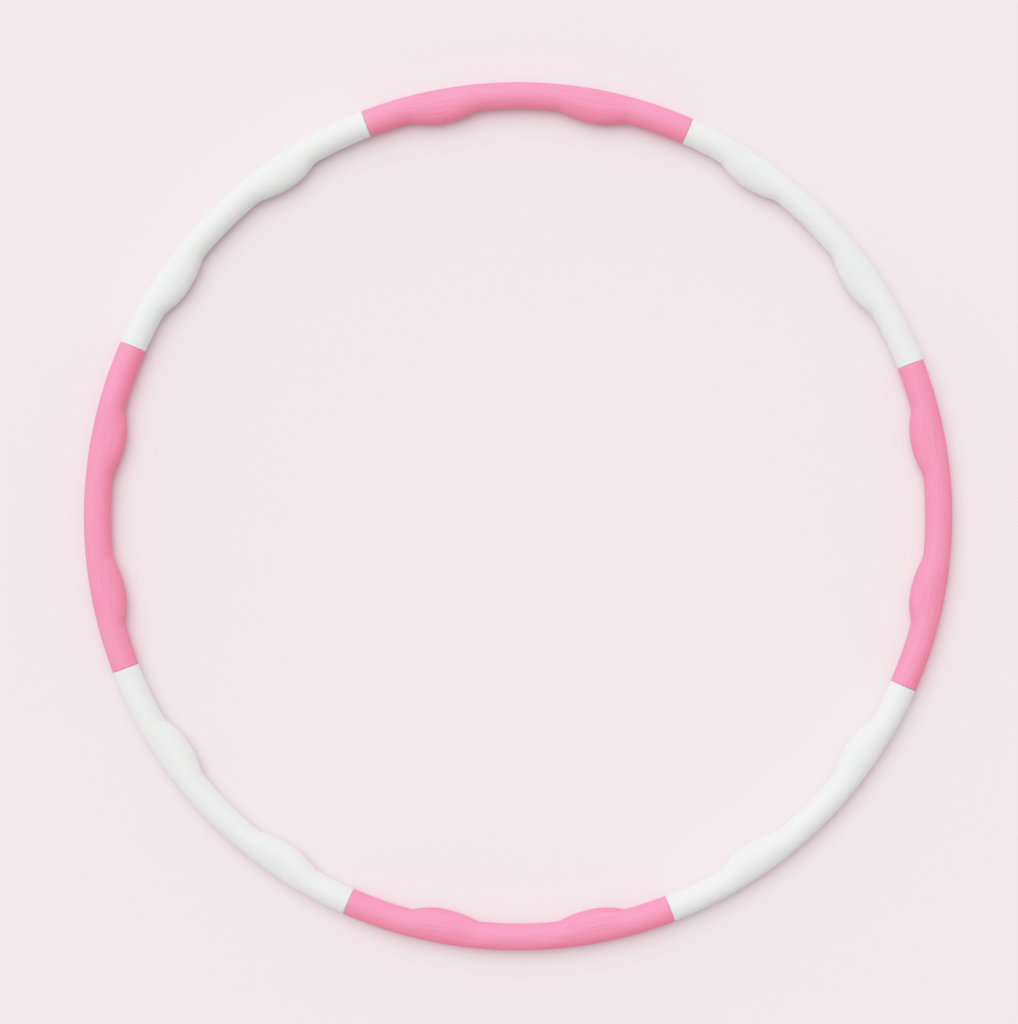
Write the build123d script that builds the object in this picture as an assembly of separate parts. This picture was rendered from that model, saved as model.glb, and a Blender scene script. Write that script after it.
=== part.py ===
from build123d import *
from math import degrees
import os

# A take-apart exercise hoop: eight equal foam-covered tube sections, each with two inner bumps,
# plugged end to end and locked by a spring clip with a release button on the underside.
# Millimetres. The hoop lies flat, its axis is +Z, and the origin is the middle of the ring.

# Ring
OUTER_DIAMETER = 950.0
SECTION_COUNT = 8
SECTION_ANGLE = 360 / SECTION_COUNT
FIRST_SECTION_START = -90 - SECTION_ANGLE / 2      # section 1 is centred on -Y
JOINT_GAP = 0.3                                    # between two sections' end faces

# Foam sleeve
FOAM_RADIUS = 14.75                                # outside radius of the round sleeve
BUMP_HEIGHT = 8.3                                  # a bump's rise above the sleeve's inner side
BUMP_CURVE_RADIUS = 79.0                           # curve of a bump's crest, seen along the axis
BUMP_ANGLES = (13.5, 34.1)                         # bump centres, from the section's first end
BUMP_HALF_SWEEP = 30.0                             # of the arc that makes a bump
BUMP_TUBE_RADIUS = 14.6                            # just under FOAM_RADIUS, so faces don't coincide

# Core tube
CORE_RADIUS = 10.5
CORE_BORE_RADIUS = 7.5
SOCKET_RADIUS = 8.2                                # straight bore that takes the next plug
SOCKET_DEPTH = 32.0
SOCKET_LEAD_IN = 0.8
SEAT_DEPTH = 24.0                                  # straight bore that holds the section's plug

# Plug: its rear half is pinned in the core tube, its front half is the spigot
PLUG_RADIUS = 8.1
PLUG_BORE_RADIUS = 6.2
SPIGOT_LENGTH = 30.0
SPIGOT_NOSE = 1.2
GROOVE_WIDTH = 1.6                                 # two lengthwise relief grooves
GROOVE_DEPTH = 0.6
PIN_RADIUS = 1.5
PIN_LENGTH = 19.6
PIN_SETBACKS = (8.0, 16.0)                         # behind the joint plane

# Spring clip: a U of strip steel with a domed lock nub
STRIP_WIDTH = 5.0
STRIP_THICKNESS = 0.6
CLIP_BEND_RADIUS = 5.2                             # to the middle of the strip
CLIP_BEND_SETBACK = 6.0                            # behind the joint plane
LOCK_REACH = 15.0                                  # joint plane to the middle of nub and button
NUB_LEAF_END = 19.0
BACK_LEAF_END = 12.0
NUB_RADIUS = 2.4
NUB_TIP_Z = -9.8
NUB_HOLE_RADIUS = 2.7                              # through the socket's wall
PLUG_HOLE_RADIUS = 2.6                             # through the spigot's wall

# Release button, seen from below: a cap with a flange that a bezel keeps in
BUTTON_FACE_Z = -14.2
BUTTON_CAP_RADIUS = 3.75
BUTTON_FLANGE_RADIUS = 4.7
BUTTON_FLANGE_Z = (-13.1, -12.3)
BUTTON_STEM_TIP_Z = -9.9
BUTTON_EDGE = 0.4
BUTTON_DISH_DEPTH = 0.35                           # hollow in the face, for a fingertip
BUTTON_DISH_CURVE = 15.0
BEZEL_RADIUS = 6.2
BEZEL_CHAMBER_RADIUS = 5.0
BEZEL_LIP_RADIUS = 4.0
BEZEL_LIP_Z = -13.2
BEZEL_EDGE = 0.5
BEZEL_TOP_Z = -8.0                                 # before the core tube's round is cut away

RING_RADIUS = OUTER_DIAMETER / 2 - FOAM_RADIUS     # to the middle of the tube
GAP_ANGLE = degrees(JOINT_GAP / 2 / RING_RADIUS)
JOINT_CENTRE = Pos(RING_RADIUS, 0, 0)
LAST_JOINT = Rot(0, 0, SECTION_ANGLE) * JOINT_CENTRE
BUTTON_CENTRE = Pos(RING_RADIUS, LOCK_REACH, 0)


def bent_bar(radius):
    """A round bar bent along one whole section, short of both joint planes by half the gap."""
    profile = Plane.XZ * Pos(RING_RADIUS, 0) * Circle(radius)
    bar = revolve(profile, Axis.Z, revolution_arc=SECTION_ANGLE - 2 * GAP_ANGLE)
    return Rot(0, 0, GAP_ANGLE) * bar


def bump(angle):
    """A round bar bent the other way, so that it bulges in towards the ring's middle."""
    tip = RING_RADIUS - FOAM_RADIUS - BUMP_HEIGHT
    axis_x = tip + BUMP_CURVE_RADIUS
    bar_x = BUMP_CURVE_RADIUS - BUMP_TUBE_RADIUS
    profile = Plane.XZ * Pos(-bar_x, 0) * Circle(BUMP_TUBE_RADIUS)
    bar = revolve(profile, Axis.Z, revolution_arc=2 * BUMP_HALF_SWEEP)
    return Rot(0, 0, angle) * Pos(axis_x, 0, 0) * Rot(0, 0, -BUMP_HALF_SWEEP) * bar


def rod_y(radius, start, end):
    """A round rod along Y from start to end."""
    rod = Cylinder(radius, end - start, align=(Align.CENTER, Align.CENTER, Align.MIN))
    return Pos(0, start, 0) * Rot(-90, 0, 0) * rod


def rod_z(radius, low, high):
    """A round rod along Z from low to high."""
    return Pos(0, 0, low) * Cylinder(
        radius, high - low, align=(Align.CENTER, Align.CENTER, Align.MIN))


def plug_pin(setback):
    """A cross pin through the core tube and the plug, behind the joint plane."""
    return Pos(0, -setback, 0) * Rot(0, 90, 0) * Cylinder(PIN_RADIUS, PIN_LENGTH)


def foam_sleeve():
    """The foam cover with its two bumps, its bore and the hole for the button's bezel."""
    sleeve = bent_bar(FOAM_RADIUS)
    for angle in BUMP_ANGLES:
        sleeve += bump(angle)
    sleeve -= bent_bar(CORE_RADIUS)
    sleeve -= BUTTON_CENTRE * rod_z(BEZEL_RADIUS, -2 * FOAM_RADIUS, 0)
    return sleeve


def core_tube():
    """The bent plastic tube: a socket at its first end, and the plug's seat at its last end."""
    tube = bent_bar(CORE_RADIUS) - bent_bar(CORE_BORE_RADIUS)
    lead_in = Cone(SOCKET_RADIUS + SOCKET_LEAD_IN, SOCKET_RADIUS, SOCKET_LEAD_IN,
                   align=(Align.CENTER, Align.CENTER, Align.MIN))
    tube -= JOINT_CENTRE * rod_y(SOCKET_RADIUS, -1, SOCKET_DEPTH)
    tube -= JOINT_CENTRE * Pos(0, JOINT_GAP / 2, 0) * Rot(-90, 0, 0) * lead_in
    tube -= BUTTON_CENTRE * rod_z(NUB_HOLE_RADIUS, -2 * CORE_RADIUS, 0)
    tube -= LAST_JOINT * rod_y(PLUG_RADIUS, -SEAT_DEPTH, 1)
    for setback in PIN_SETBACKS:
        tube -= LAST_JOINT * plug_pin(setback)
    return tube


def plug():
    """The hollow connector that stands out of a section's last end."""
    body = rod_y(PLUG_RADIUS, -SEAT_DEPTH, SPIGOT_LENGTH)
    nose = body.edges().filter_by(GeomType.CIRCLE).sort_by(Axis.Y)[-1]
    body = chamfer(nose, SPIGOT_NOSE)
    body -= rod_y(PLUG_BORE_RADIUS, -SEAT_DEPTH - 1, SPIGOT_LENGTH + 1)
    body -= Pos(0, LOCK_REACH, 0) * rod_z(PLUG_HOLE_RADIUS, -2 * PLUG_RADIUS, 0)
    for side in (-1, 1):
        groove = Box(2 * GROOVE_DEPTH, SPIGOT_LENGTH, GROOVE_WIDTH,
                     align=(Align.CENTER, Align.MIN, Align.CENTER))
        body -= Pos(side * PLUG_RADIUS, 2, 0) * groove
    for setback in PIN_SETBACKS:
        body -= plug_pin(setback)
    return LAST_JOINT * body


def plug_pins():
    """The two pins that hold the plug; the front one also passes through the clip's bend."""
    return [LAST_JOINT * plug_pin(setback) for setback in PIN_SETBACKS]


def spring_clip():
    """The U of strip steel in the plug, with the lock nub on its lower leaf."""
    start = -CLIP_BEND_SETBACK
    outer = CLIP_BEND_RADIUS + STRIP_THICKNESS / 2
    inner = CLIP_BEND_RADIUS - STRIP_THICKNESS / 2
    across = Rot(0, 90, 0)
    bend = across * Cylinder(outer, STRIP_WIDTH) - across * Cylinder(inner, 2 * STRIP_WIDTH)
    bend &= Box(2 * STRIP_WIDTH, outer, 4 * outer, align=(Align.CENTER, Align.MAX, Align.CENTER))
    clip = Pos(0, start, 0) * bend
    for z, end in ((-CLIP_BEND_RADIUS, NUB_LEAF_END), (CLIP_BEND_RADIUS, BACK_LEAF_END)):
        leaf = Box(STRIP_WIDTH, end - start, STRIP_THICKNESS,
                   align=(Align.CENTER, Align.MIN, Align.CENTER))
        clip += Pos(0, start, z) * leaf
    nub = rod_z(NUB_RADIUS, NUB_TIP_Z, -CLIP_BEND_RADIUS)
    tip = nub.edges().filter_by(GeomType.CIRCLE).sort_by(Axis.Z)[0]
    clip += Pos(0, LOCK_REACH, 0) * fillet(tip, NUB_RADIUS / 2)
    return LAST_JOINT * clip


def button_bezel():
    """The ring around the button, seated on the core tube and lipped to keep the button in."""
    ring = rod_z(BEZEL_RADIUS, BUTTON_FACE_Z, BEZEL_TOP_Z)
    rim = ring.edges().filter_by(GeomType.CIRCLE).sort_by(Axis.Z)[0]
    ring = fillet(rim, BEZEL_EDGE)
    ring -= rod_z(BEZEL_CHAMBER_RADIUS, BEZEL_LIP_Z, 0)
    ring -= rod_z(BEZEL_LIP_RADIUS, -2 * FOAM_RADIUS, 0)
    return BUTTON_CENTRE * ring - bent_bar(CORE_RADIUS)


def release_button():
    """The push button: dished face, retaining flange, and the stem that meets the lock nub."""
    low, high = BUTTON_FLANGE_Z
    cap = rod_z(BUTTON_CAP_RADIUS, BUTTON_FACE_Z, low)
    face_edge = cap.edges().filter_by(GeomType.CIRCLE).sort_by(Axis.Z)[0]
    button = fillet(face_edge, BUTTON_EDGE)
    button -= Pos(0, 0, BUTTON_FACE_Z + BUTTON_DISH_DEPTH - BUTTON_DISH_CURVE) * Sphere(BUTTON_DISH_CURVE)
    button += rod_z(BUTTON_FLANGE_RADIUS, low, high)
    button += rod_z(NUB_RADIUS, high, BUTTON_STEM_TIP_Z)
    return BUTTON_CENTRE * button


SECTION_PIECES = {
    "foam_sleeve": foam_sleeve(),
    "core_tube": core_tube(),
    "plug": plug(),
    "plug_pins": plug_pins(),
    "spring_clip": spring_clip(),
    "button_bezel": button_bezel(),
    "release_button": release_button(),
}


def save(name, piece, turn):
    """Turn a piece, or a list of alike pieces, to its section and write it."""
    if isinstance(piece, list):
        placed = Compound(children=[Rot(0, 0, turn) * each for each in piece])
    else:
        placed = Rot(0, 0, turn) * piece
    export_step(placed, f"parts/{name}.step")


os.makedirs("parts", exist_ok=True)
for number in range(1, SECTION_COUNT + 1):
    section_turn = FIRST_SECTION_START + (number - 1) * SECTION_ANGLE
    for name, piece in SECTION_PIECES.items():
        save(f"{name}_{number}", piece, section_turn)
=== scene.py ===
"""The looks of a take-apart, foam-covered exercise hoop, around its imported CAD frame. Metres."""
from math import ceil, cos, exp, pi, radians, sin

import bpy
import numpy as np
from mathutils import Matrix, Vector, noise


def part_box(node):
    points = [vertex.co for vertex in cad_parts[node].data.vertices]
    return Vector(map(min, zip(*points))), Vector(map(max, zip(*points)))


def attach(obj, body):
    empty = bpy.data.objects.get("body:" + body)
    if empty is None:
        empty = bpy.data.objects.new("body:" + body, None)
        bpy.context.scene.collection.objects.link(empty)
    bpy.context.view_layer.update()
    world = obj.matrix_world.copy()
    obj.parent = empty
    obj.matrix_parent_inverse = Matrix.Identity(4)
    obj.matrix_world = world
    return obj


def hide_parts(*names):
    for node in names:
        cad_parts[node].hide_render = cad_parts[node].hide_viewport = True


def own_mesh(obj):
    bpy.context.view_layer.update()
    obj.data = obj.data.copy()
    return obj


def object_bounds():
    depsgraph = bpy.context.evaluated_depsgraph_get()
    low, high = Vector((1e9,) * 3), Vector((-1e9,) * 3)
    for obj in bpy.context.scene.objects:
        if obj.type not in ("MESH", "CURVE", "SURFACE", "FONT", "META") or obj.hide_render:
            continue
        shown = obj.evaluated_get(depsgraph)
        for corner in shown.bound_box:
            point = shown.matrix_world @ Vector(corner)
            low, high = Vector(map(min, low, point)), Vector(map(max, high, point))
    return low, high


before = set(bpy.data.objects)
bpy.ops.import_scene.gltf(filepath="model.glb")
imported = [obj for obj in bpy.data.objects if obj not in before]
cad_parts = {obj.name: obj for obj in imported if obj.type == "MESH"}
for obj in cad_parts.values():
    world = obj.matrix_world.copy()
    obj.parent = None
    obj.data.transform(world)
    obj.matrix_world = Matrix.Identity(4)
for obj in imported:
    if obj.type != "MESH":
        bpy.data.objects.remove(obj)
cad_low, cad_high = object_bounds()

# ---------------------------------------------------------------- sizes that follow the frame
SECTIONS = 8
SECTION_ANGLE = 2 * pi / SECTIONS
FIRST_START = -pi / 2 - SECTION_ANGLE / 2          # section 1 is centred on -Y
FOAM_RADIUS = (cad_high.z - cad_low.z) / 2
RING_RADIUS = cad_high.x - FOAM_RADIUS             # to the middle of the tube
FLOOR_Z = cad_low.z
core_low, core_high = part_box("core_tube_1")
CORE_RADIUS = (core_high.z - core_low.z) / 2
bezel_low, bezel_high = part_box("button_bezel_1")
BEZEL_RADIUS = (bezel_high.x - bezel_low.x) / 2
BEZEL_FACE_Z = bezel_low.z


# ---------------------------------------------------------------- pieces and meshes
def add_object(name, data):
    """A new object in the scene, from its mesh, light or camera data."""
    piece = bpy.data.objects.new(name, data)
    bpy.context.scene.collection.objects.link(piece)
    return piece


def paint(piece, material):
    """Give a piece one material in place of any it has."""
    piece.data.materials.clear()
    piece.data.materials.append(material)


def apply_modifiers(piece):
    """Replace a piece's mesh by its evaluated one, with no modifier left."""
    graph = bpy.context.evaluated_depsgraph_get()
    mesh = bpy.data.meshes.new_from_object(piece.evaluated_get(graph))
    piece.modifiers.clear()
    piece.data = mesh


def ring_quads(starts, columns, flip=False):
    """Quads between closed rings of points, each ring and the next, given where the rings start."""
    faces = []
    for ring, beyond in zip(starts, starts[1:]):
        for column in range(columns):
            following = (column + 1) % columns
            quad = [ring + column, ring + following, beyond + following, beyond + column]
            faces.append(quad[::-1] if flip else quad)
    return faces


# ---------------------------------------------------------------- foam sleeves
# Angles along a section run from 0 at its first end to SECTION_ANGLE at its last, and
# angles around the tube from 0 on the ring's inner side.
BUMP_HEIGHT = 0.0084
BUMP_EXPONENT = 2.05
BUMP_TOE = 0.00055                                 # softness where a bump meets the tube
# crest, reach towards the first end, reach towards the last end, in degrees
BUMPS = ((12.9, 4.1, 5.2), (34.5, 4.9, 4.4))
RIBS = 40                                          # around the tube
STEPS_PER_RIB = 5
RIB_EXPONENT = 0.7                                 # under 1, for broad ribs and narrow grooves
RIB_DEPTH = 0.00016
RIB_DEPTH_ON_BUMP = 0.00032
RIB_FADES = 15.0                                   # of a groove's depth, per radian along it
RIB_SHARE = 0.62                                   # of the full depth, that a groove fades around
GROOVE_SEED = 0.5                                  # where the first groove reads the noise
GROOVE_SEED_STEP = 1.37                            # from one groove to the next
SECTION_SEED_STEP = 11.3                           # from one section to the next
GROOVE_SHADE_OFF_BUMPS = 0.6                               # of a groove's painted shade, kept off the bumps
ARC_STEP = 0.0024                                  # between rows of the skin's points
END_GAP = 0.00015                                  # from the joint plane to a foam end
END_ROUND = 0.0007                                 # radius of a foam end's outer edge
END_ROWS = 4                                       # of points around that edge
END_SHARES = (0.33, 0.67)                          # from skin to bore, of an end's other rows
BORE_ROWS = 37
CUTTER_SIDES = 64
CUTTER_LOW = -1.5 * FOAM_RADIUS
CUTTER_HIGH = -0.2 * FOAM_RADIUS
SKIN_MARGIN = 0.001                                # over the core tube, past which foam is skin
UNEVENNESS = 0.00012                               # of the foam's skin
UNEVEN_SCALE = 38.0                                # per metre
UNEVEN_LEVEL = 0.4                                 # noise above this leaves the skin alone
DIMPLE_REACH = 0.0034                              # foam drawn in around a bezel
DIMPLE_LIP = 0.0001                                # by which it still stands past the bezel's face
SHARP_ANGLE = radians(50)                          # creases wider than this stay sharp


def bezel_centre(number):
    """The middle of a section's button bezel, in plan."""
    low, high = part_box(f"button_bezel_{number}")
    return Vector(((low.x + high.x) / 2, (low.y + high.y) / 2, 0))


def bump_rise(angle):
    """How far the inner side stands in at this angle along a section."""
    degrees_along = np.degrees(angle)
    rise = np.zeros_like(degrees_along)
    for crest, before, after in BUMPS:
        offset = degrees_along - crest
        reach = np.where(offset < 0, before, after)
        cap = BUMP_HEIGHT * (1 - np.abs(offset / reach) ** BUMP_EXPONENT)
        rise += BUMP_TOE * np.logaddexp(0, cap / BUMP_TOE)
    return rise


def ring_points(angle, around, radius, rise):
    """Points at an angle along the section and an angle around it, 0 being the inner side."""
    inward = radius * np.cos(around) + rise * (1 + np.cos(around)) / 2
    out = RING_RADIUS - inward
    return np.stack([out * np.cos(angle), out * np.sin(angle), radius * np.sin(around)], -1)


def rib_profile(around):
    """0 on a rib's crest and 1 in the groove between two ribs."""
    return 1 - np.abs(np.sin(around * RIBS / 2)) ** RIB_EXPONENT


def rib_strength(number, angle, around):
    """How deep the nearest groove is cut here: each one fades in and out by itself."""
    groove = np.round(around * RIBS / (2 * pi)) % RIBS
    across, along = np.broadcast_arrays(groove * GROOVE_SEED_STEP + GROOVE_SEED, angle * RIB_FADES)
    fades = [noise.noise(Vector((x, y, number * SECTION_SEED_STEP)))
             for x, y in zip(across.ravel(), along.ravel())]
    return np.clip(RIB_SHARE + np.reshape(fades, across.shape), 0, 1)


def skin_rows():
    """The angles of the skin's rows, and how far each stands in where a foam end is rounded."""
    first, last = END_GAP / RING_RADIUS, SECTION_ANGLE - END_GAP / RING_RADIUS
    round_angle = END_ROUND / RING_RADIUS
    turn = np.linspace(0, pi / 2, END_ROWS)
    middle_rows = ceil((last - first) * RING_RADIUS / ARC_STEP)
    head = first + round_angle * (1 - np.cos(turn))
    middle = np.linspace(first + round_angle, last - round_angle, middle_rows)
    angles = np.concatenate([head[:-1], middle, (first + last - head[::-1])[1:]])
    edge = END_ROUND * (1 - np.sin(turn))
    inset = np.concatenate([edge, np.zeros(middle_rows - 2), edge[::-1]])
    return angles, inset


def skin_points(number, around):
    """The outside of a section's sleeve, row by row: a round tube with its bumps and ribs."""
    angles, inset = skin_rows()
    rise = bump_rise(angles)
    depth = RIB_DEPTH + (RIB_DEPTH_ON_BUMP - RIB_DEPTH) * np.clip(rise / BUMP_HEIGHT, 0, 1)
    grooves = rib_profile(around)[None, :] * rib_strength(number, angles[:, None], around[None, :])
    radius = FOAM_RADIUS - inset[:, None] - depth[:, None] * grooves
    return ring_points(angles[:, None], around[None, :], radius, rise[:, None])


def bore_points(around):
    """The bore of a sleeve, row by row."""
    end_angle = END_GAP / RING_RADIUS
    angles = np.linspace(end_angle, SECTION_ANGLE - end_angle, BORE_ROWS)
    radius = np.full((BORE_ROWS, len(around)), CORE_RADIUS)
    return ring_points(angles[:, None], around[None, :], radius, 0)


def sleeve_mesh(number):
    """A section's foam sleeve as a closed mesh, still at angle 0."""
    columns = RIBS * STEPS_PER_RIB
    around = np.arange(columns) * 2 * pi / columns
    skin = skin_points(number, around)
    bore = bore_points(around)
    shares = np.array(END_SHARES)[:, None, None]
    first_end = skin[0] + (bore[0] - skin[0]) * shares
    last_end = skin[-1] + (bore[-1] - skin[-1]) * shares
    blocks = (skin, first_end, last_end, bore)
    points = np.concatenate(blocks).reshape(-1, 3)
    row_starts = iter(range(0, len(points), columns))
    skin_at, first_at, last_at, bore_at = [[next(row_starts) for _ in block] for block in blocks]
    faces = ring_quads(skin_at, columns)
    faces += ring_quads([skin_at[0], *first_at, bore_at[0]], columns, flip=True)
    faces += ring_quads([skin_at[-1], *last_at, bore_at[-1]], columns)
    faces += ring_quads(bore_at, columns, flip=True)
    mesh = bpy.data.meshes.new("foam_sleeve")
    mesh.from_pydata(points.tolist(), [], faces)
    mesh.validate()
    return mesh


def hole_cutter(centre):
    """A temporary round cutter for the hole that holds a bezel."""
    turns = [2 * pi * side / CUTTER_SIDES for side in range(CUTTER_SIDES)]
    ring = [(centre.x + BEZEL_RADIUS * cos(turn), centre.y + BEZEL_RADIUS * sin(turn))
            for turn in turns]
    points = [(x, y, z) for z in (CUTTER_LOW, CUTTER_HIGH) for x, y in ring]
    low_cap = list(range(CUTTER_SIDES))[::-1]
    high_cap = list(range(CUTTER_SIDES, 2 * CUTTER_SIDES))
    faces = [low_cap, high_cap] + ring_quads([0, CUTTER_SIDES], CUTTER_SIDES)
    mesh = bpy.data.meshes.new("cutter")
    mesh.from_pydata(points, [], faces)
    return add_object("cutter", mesh)


def mark_groove_shade(mesh, number, start):
    """Store how deep in a groove each point of a sleeve in place lies, as a mask of painted shade
    for the foam's colour.
    """
    points = np.array([v.co for v in mesh.vertices])
    angle = np.mod(np.arctan2(points[:, 1], points[:, 0]) - start + pi, 2 * pi) - pi
    rise = bump_rise(angle)
    inward = RING_RADIUS - np.hypot(points[:, 0], points[:, 1])
    around = np.arctan2(points[:, 2] / FOAM_RADIUS,
                        (inward - rise / 2) / (FOAM_RADIUS + rise / 2))
    groove = rib_profile(around) * rib_strength(number, angle, around)
    groove *= GROOVE_SHADE_OFF_BUMPS + (1 - GROOVE_SHADE_OFF_BUMPS) * np.clip(rise / BUMP_HEIGHT, 0, 1)
    # The groove attribute holds painted shade: it darkens the foam's colour in its grooves.
    attribute = mesh.attributes.new("groove", "FLOAT", "POINT")
    attribute.data.foreach_set("value", groove.astype(np.float32))


def soften(mesh, centre):
    """Give the skin its slight unevenness, and draw it in around the bezel."""
    for vertex in mesh.vertices:
        spine = Vector((vertex.co.x, vertex.co.y, 0)).normalized() * RING_RADIUS
        from_spine = vertex.co - spine
        if from_spine.length < CORE_RADIUS + SKIN_MARGIN:
            continue
        wave = noise.noise(vertex.co * UNEVEN_SCALE) - UNEVEN_LEVEL
        vertex.co += from_spine.normalized() * UNEVENNESS * min(wave, 0)
        beside = (Vector((vertex.co.x, vertex.co.y, 0)) - centre).length - BEZEL_RADIUS
        level = BEZEL_FACE_Z - DIMPLE_LIP
        if vertex.co.z < level and beside < DIMPLE_REACH:
            share = (1 - max(beside, 0) / DIMPLE_REACH) ** 2
            vertex.co.z += (level - vertex.co.z) * share


def build_sleeve(number, material):
    """The foam sleeve of one section, in place, with the hole for its bezel."""
    start = FIRST_START + (number - 1) * SECTION_ANGLE
    mesh = sleeve_mesh(number)
    mesh.transform(Matrix.Rotation(start, 4, "Z"))
    piece = add_object(f"foam_cover_{number}", mesh)
    centre = bezel_centre(number)
    cutter = hole_cutter(centre)
    hole = piece.modifiers.new("hole", "BOOLEAN")
    hole.operation = "DIFFERENCE"
    hole.solver = "EXACT"
    hole.object = cutter
    apply_modifiers(piece)
    bpy.data.objects.remove(cutter)
    soften(piece.data, centre)
    mark_groove_shade(piece.data, number, start)
    piece.data.shade_smooth()
    piece.data.set_sharp_from_angle(angle=SHARP_ANGLE)
    paint(piece, material)
    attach(piece, f"section_{number}")
    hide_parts(f"foam_sleeve_{number}")


# ---------------------------------------------------------------- lock springs
def build_lock_spring(number, material):
    """The spring in a section's plug, which gives as the next section's button presses its nub."""
    node = f"spring_clip_{number}"
    piece = add_object(f"lock_spring_{number}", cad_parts[node].data.copy())
    paint(piece, material)
    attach(piece, f"section_{number}")
    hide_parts(node)
    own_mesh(piece)


# ---------------------------------------------------------------- materials
MIX_FACTOR, MIX_FIRST, MIX_SECOND = 0, 6, 7        # a Mix node's inputs for colours
MIX_RESULT = 2                                     # and its output for them
FOAM_ROUGHNESS = (0.50, 0.64)
FOAM_SHEEN_ROUGHNESS = 0.45
MOTTLE_DEPTH = 0.00012
CELL_DEPTH = 0.00013
PLASTIC_VARIES = (-0.07, 0.12)                     # in roughness, from its own
STEEL_VARIES = (-0.06, 0.14)
STEEL_LINE_DEPTH = 0.00002


def new_material(name, **constants):
    """A material with constants on its Principled shader, its node tree and that shader."""
    material = bpy.data.materials.new(name)
    material.use_nodes = True
    shader = material.node_tree.nodes["Principled BSDF"]
    for socket, value in constants.items():
        shader.inputs[socket.replace("_", " ")].default_value = value
    return material, material.node_tree, shader


def add_node(tree, kind, **settings):
    """A shader node. Keys that name inputs set them; the others are properties."""
    node = tree.nodes.new(f"ShaderNode{kind}")
    for key, value in settings.items():
        label = key.replace("_", " ")
        if label in node.inputs:
            node.inputs[label].default_value = value
        else:
            setattr(node, key, value)
    return node


def place(tree, stretch=(1, 1, 1)):
    """Object coordinates, stretched."""
    where = add_node(tree, "TexCoord")
    mapping = add_node(tree, "Mapping")
    mapping.inputs["Scale"].default_value = stretch
    tree.links.new(where.outputs["Object"], mapping.inputs["Vector"])
    return mapping.outputs["Vector"]


def noise_at(tree, vector, scale, detail=2.0, roughness=0.5):
    """A noise pattern's value, at so many features a metre."""
    texture = add_node(tree, "TexNoise", Scale=scale, Detail=detail, Roughness=roughness)
    tree.links.new(vector, texture.inputs["Vector"])
    return texture.outputs["Fac"]


def cells_at(tree, vector, scale):
    """Distance to the nearest point of a scatter of cells, at so many cells a metre."""
    texture = add_node(tree, "TexVoronoi", Scale=scale)
    tree.links.new(vector, texture.inputs["Vector"])
    return texture.outputs["Distance"]


def spread(tree, value, low, high, start=0.3, end=0.7):
    """A value between start and end mapped to between low and high."""
    node = add_node(tree, "MapRange")
    for socket, number in zip(("From Min", "From Max", "To Min", "To Max"),
                              (start, end, low, high)):
        node.inputs[socket].default_value = number
    tree.links.new(value, node.inputs["Value"])
    return node.outputs["Result"]


def blend_colours(tree, share, first, second):
    """A mix of two colours, each a constant or a node's output."""
    node = add_node(tree, "Mix", data_type="RGBA")
    for index, colour in ((MIX_FIRST, first), (MIX_SECOND, second)):
        if isinstance(colour, (tuple, list)):
            node.inputs[index].default_value = (*colour, 1)
        else:
            tree.links.new(colour, node.inputs[index])
    tree.links.new(share, node.inputs[MIX_FACTOR])
    return node.outputs[MIX_RESULT]


def relief(tree, shader, layers):
    """Chain bump nodes, each (height, depth in metres), into the shader's normal."""
    normal = None
    for height, depth in layers:
        bump = add_node(tree, "Bump", Distance=depth, Strength=1.0)
        tree.links.new(height, bump.inputs["Height"])
        if normal:
            tree.links.new(normal, bump.inputs["Normal"])
        normal = bump.outputs["Normal"]
    tree.links.new(normal, shader.inputs["Normal"])


def foam_material(name, colour, deep, groove, **constants):
    """Closed-cell foam: a matte skin of fine cells, cloudy in tone, with painted shade in the
    groove colour darkening its grooves and pores.
    """
    material, tree, shader = new_material(
        name, Sheen_Roughness=FOAM_SHEEN_ROUGHNESS, **constants)
    where = place(tree)
    clouds = noise_at(tree, where, scale=26, detail=3)
    mottle = noise_at(tree, where, scale=420, detail=3, roughness=0.6)
    cells = cells_at(tree, where, scale=1300)
    # Painted shade: the groove attribute darkens the colour in the rib grooves, towards the groove
    # colour.
    depth = add_node(tree, "Attribute", attribute_name="groove").outputs["Fac"]
    tone = blend_colours(tree, spread(tree, clouds, low=0, high=0.5), colour, deep)
    tone = blend_colours(tree, spread(tree, mottle, low=0, high=0.35), tone, deep)
    # Painted shade in the pores: the colour darkens towards the groove colour at the fine cells'
    # centres, where the relief dips.
    painted_pore_shade = spread(tree, cells, low=0.5, high=0, start=0, end=0.4)
    tone = blend_colours(tree, painted_pore_shade, tone, groove)
    groove_shade = spread(tree, depth, low=0, high=0.55, start=0, end=1)
    tone = blend_colours(tree, groove_shade, tone, groove)
    tree.links.new(tone, shader.inputs["Base Color"])
    tree.links.new(spread(tree, mottle, *FOAM_ROUGHNESS), shader.inputs["Roughness"])
    relief(tree, shader, ((mottle, MOTTLE_DEPTH), (cells, CELL_DEPTH)))
    return material


def plastic_material(name, colour, worn, roughness, peel, **constants):
    """Moulded plastic: an orange peel of this depth, slight flow marks and fine scuffs."""
    material, tree, shader = new_material(name, **constants)
    where = place(tree)
    flow = noise_at(tree, where, scale=60, detail=4, roughness=0.6)
    scuff = noise_at(tree, place(tree, stretch=(1, 1, 14)), scale=300, detail=5, roughness=0.7)
    grain = noise_at(tree, where, scale=1800, detail=1)
    tone = blend_colours(tree, spread(tree, flow, low=0, high=0.6), colour, worn)
    tree.links.new(tone, shader.inputs["Base Color"])
    glossiest, dullest = (roughness + change for change in PLASTIC_VARIES)
    tree.links.new(spread(tree, scuff, glossiest, dullest), shader.inputs["Roughness"])
    relief(tree, shader, ((grain, peel), (scuff, peel / 2)))
    return material


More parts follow.
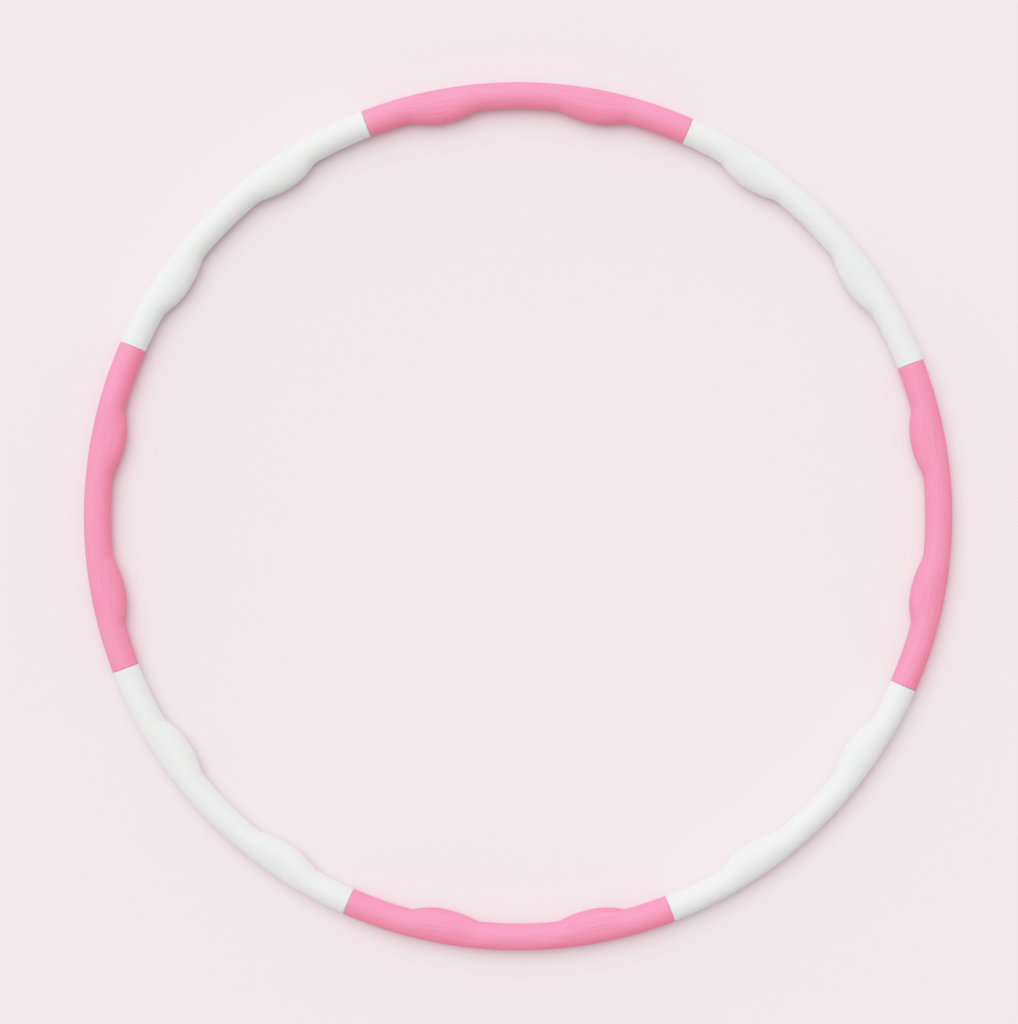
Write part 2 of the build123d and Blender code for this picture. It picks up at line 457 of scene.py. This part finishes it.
def steel_material(name, colour, dark, roughness):
    """Drawn steel: fine level lines and slight tarnish."""
    material, tree, shader = new_material(name, Metallic=1.0, Anisotropic=0.4)
    lines = noise_at(tree, place(tree, stretch=(1, 1, 30)), scale=900, detail=3, roughness=0.7)
    tarnish = noise_at(tree, place(tree), scale=240, detail=4)
    tone = blend_colours(tree, spread(tree, tarnish, low=0, high=0.6), colour, dark)
    tree.links.new(tone, shader.inputs["Base Color"])
    glossiest, dullest = (roughness + change for change in STEEL_VARIES)
    tree.links.new(spread(tree, lines, glossiest, dullest), shader.inputs["Roughness"])
    relief(tree, shader, ((lines, STEEL_LINE_DEPTH),))
    return material


def repaint(kind, material):
    """Give every section's CAD node of a kind a material."""
    for number in range(1, SECTIONS + 1):
        paint(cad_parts[f"{kind}_{number}"], material)


# ---------------------------------------------------------------- the object
# Each foam's groove colour is painted shade, for its rib grooves and pores.
PINK = foam_material(
    "foam_pink", colour=(0.89, 0.262, 0.385), deep=(0.85, 0.225, 0.35), groove=(0.75, 0.12, 0.24),
    Sheen_Weight=0.03, Specular_IOR_Level=0.2)
WHITE = foam_material(
    "foam_white", colour=(0.74, 0.755, 0.75), deep=(0.705, 0.725, 0.72), groove=(0.65, 0.67, 0.665),
    Sheen_Weight=0.25, Specular_IOR_Level=0.35, Subsurface_Weight=0.4, Subsurface_Scale=0.006)
SPRING_STEEL = steel_material(
    "spring_steel", colour=(0.62, 0.61, 0.59), dark=(0.50, 0.47, 0.42), roughness=0.24)
TUBE_PLASTIC = plastic_material(
    "tube_plastic", colour=(0.74, 0.75, 0.73), worn=(0.68, 0.69, 0.67), roughness=0.42,
    peel=0.00003, Subsurface_Weight=0.15, Subsurface_Scale=0.003)
PLUG_PLASTIC = plastic_material(
    "plug_plastic", colour=(0.66, 0.67, 0.67), worn=(0.58, 0.59, 0.59), roughness=0.36,
    peel=0.00003)
PIN_STEEL = steel_material(
    "pin_steel", colour=(0.56, 0.56, 0.55), dark=(0.42, 0.41, 0.39), roughness=0.34)
BEZEL_PLASTIC = plastic_material(
    "bezel_plastic", colour=(0.78, 0.78, 0.77), worn=(0.73, 0.73, 0.72), roughness=0.26,
    peel=0.00002)
BUTTON_PLASTIC = plastic_material(
    "button_plastic", colour=(0.80, 0.22, 0.36), worn=(0.72, 0.18, 0.31), roughness=0.28,
    peel=0.00002, Coat_Weight=0.2)

for section in range(1, SECTIONS + 1):
    build_sleeve(section, PINK if section % 2 else WHITE)
    build_lock_spring(section, SPRING_STEEL)
repaint("core_tube", TUBE_PLASTIC)
repaint("plug", PLUG_PLASTIC)
repaint("plug_pins", PIN_STEEL)
repaint("button_bezel", BEZEL_PLASTIC)
repaint("release_button", BUTTON_PLASTIC)


# ---------------------------------------------------------------- floor, light and camera
FLOOR_REACH = 30.0                                 # from the middle to each side
FLOOR_COLOUR = (0.79, 0.68, 0.715, 1)
KEY_FROM = (-0.9, 1.3, 3.2)
KEY_SPREAD = radians(55)
KEY_STRENGTH = 1.75
SKY_COLOUR = (1.0, 0.985, 0.99, 1)
SKY_BRIGHT_SIDE = (-0.42, 0.84, 0.25)
SKY_NEAR = 1.34                                    # strength on that side
SKY_FAR = 0.28                                     # and on the opposite one


def studio_floor():
    """A large plain pale floor that the hoop lies on."""
    mesh = bpy.data.meshes.new("floor")
    corners = [(-FLOOR_REACH, -FLOOR_REACH, FLOOR_Z), (FLOOR_REACH, -FLOOR_REACH, FLOOR_Z),
               (FLOOR_REACH, FLOOR_REACH, FLOOR_Z), (-FLOOR_REACH, FLOOR_REACH, FLOOR_Z)]
    mesh.from_pydata(corners, [], [(0, 1, 2, 3)])
    floor = add_object("floor", mesh)
    material, _, _ = new_material(
        "floor_paint", Roughness=0.9, Base_Color=FLOOR_COLOUR, Specular_IOR_Level=0.1)
    paint(floor, material)


def broad_light():
    """A far, very wide softbox: even over the whole floor, with soft shadows."""
    data = bpy.data.lights.new("key", "SUN")
    data.angle = KEY_SPREAD
    data.energy = KEY_STRENGTH
    light = add_object("key", data)
    light.location = KEY_FROM
    light.rotation_euler = (-Vector(KEY_FROM)).to_track_quat("-Z", "Y").to_euler()


def studio_world():
    """A pale sky, brighter on the side that the light comes from."""
    world = bpy.data.worlds.new("studio")
    world.use_nodes = True
    tree = world.node_tree
    background = tree.nodes["Background"]
    background.inputs["Color"].default_value = SKY_COLOUR
    direction = add_node(tree, "TexCoord")
    facing = add_node(tree, "VectorMath", operation="DOT_PRODUCT")
    facing.inputs[1].default_value = Vector(SKY_BRIGHT_SIDE).normalized()
    tree.links.new(direction.outputs["Generated"], facing.inputs[0])
    strength = spread(tree, facing.outputs["Value"], SKY_FAR, SKY_NEAR, start=-1, end=1)
    tree.links.new(strength, background.inputs["Strength"])
    bpy.context.scene.world = world


LENS = 0.135
SENSOR = 0.036
FRAME_SHARE = 0.848                                # hoop's outer diameter over picture's height
ROLL = radians(1.3)
AIM = (-0.0099, 0.0046)                            # picture's middle from the ring's, right and up
MILLIMETRES = 1000


def photo_camera():
    """The camera straight above the ring, rolled a little, with the hoop just off centre."""
    data = bpy.data.cameras.new("camera")
    data.lens = LENS * MILLIMETRES
    data.sensor_width = SENSOR * MILLIMETRES
    camera = add_object("camera", data)
    seen_height = 2 * (RING_RADIUS + FOAM_RADIUS) / FRAME_SHARE
    height = seen_height / 2 / (SENSOR / 2 / LENS)
    right = Vector((cos(ROLL), sin(ROLL), 0))
    up = Vector((-sin(ROLL), cos(ROLL), 0))
    camera.location = right * AIM[0] + up * AIM[1] + Vector((0, 0, height))
    camera.rotation_euler = (0, 0, ROLL)
    bpy.context.scene.camera = camera


SHOULDER_START = 0.53                              # light up to this is shown as it is
SHOULDER_TOP = 1.075                               # what the shoulder would level off at
BRIGHTEST = 2.4                                    # light that is shown as pure white
SHOULDER_STEPS = 12
ALL_CHANNELS = 3                                   # the curve that acts on all colours


def film_response():
    """Crowd bright tones together as film does, so that lit foam keeps its colour."""
    view = bpy.context.scene.view_settings
    view.view_transform = "Standard"
    view.use_curve_mapping = True
    view.curve_mapping.white_level = (BRIGHTEST, BRIGHTEST, BRIGHTEST)
    points = view.curve_mapping.curves[ALL_CHANNELS].points
    room = SHOULDER_TOP - SHOULDER_START
    for step in range(1, SHOULDER_STEPS):
        light = BRIGHTEST * step / SHOULDER_STEPS
        over = max(light - SHOULDER_START, 0)
        shown = min(light, SHOULDER_START) + room * (1 - exp(-over / room))
        points.new(light / BRIGHTEST, min(shown, 1))
    view.curve_mapping.update()


studio_floor()
studio_world()
broad_light()
photo_camera()
film_response()
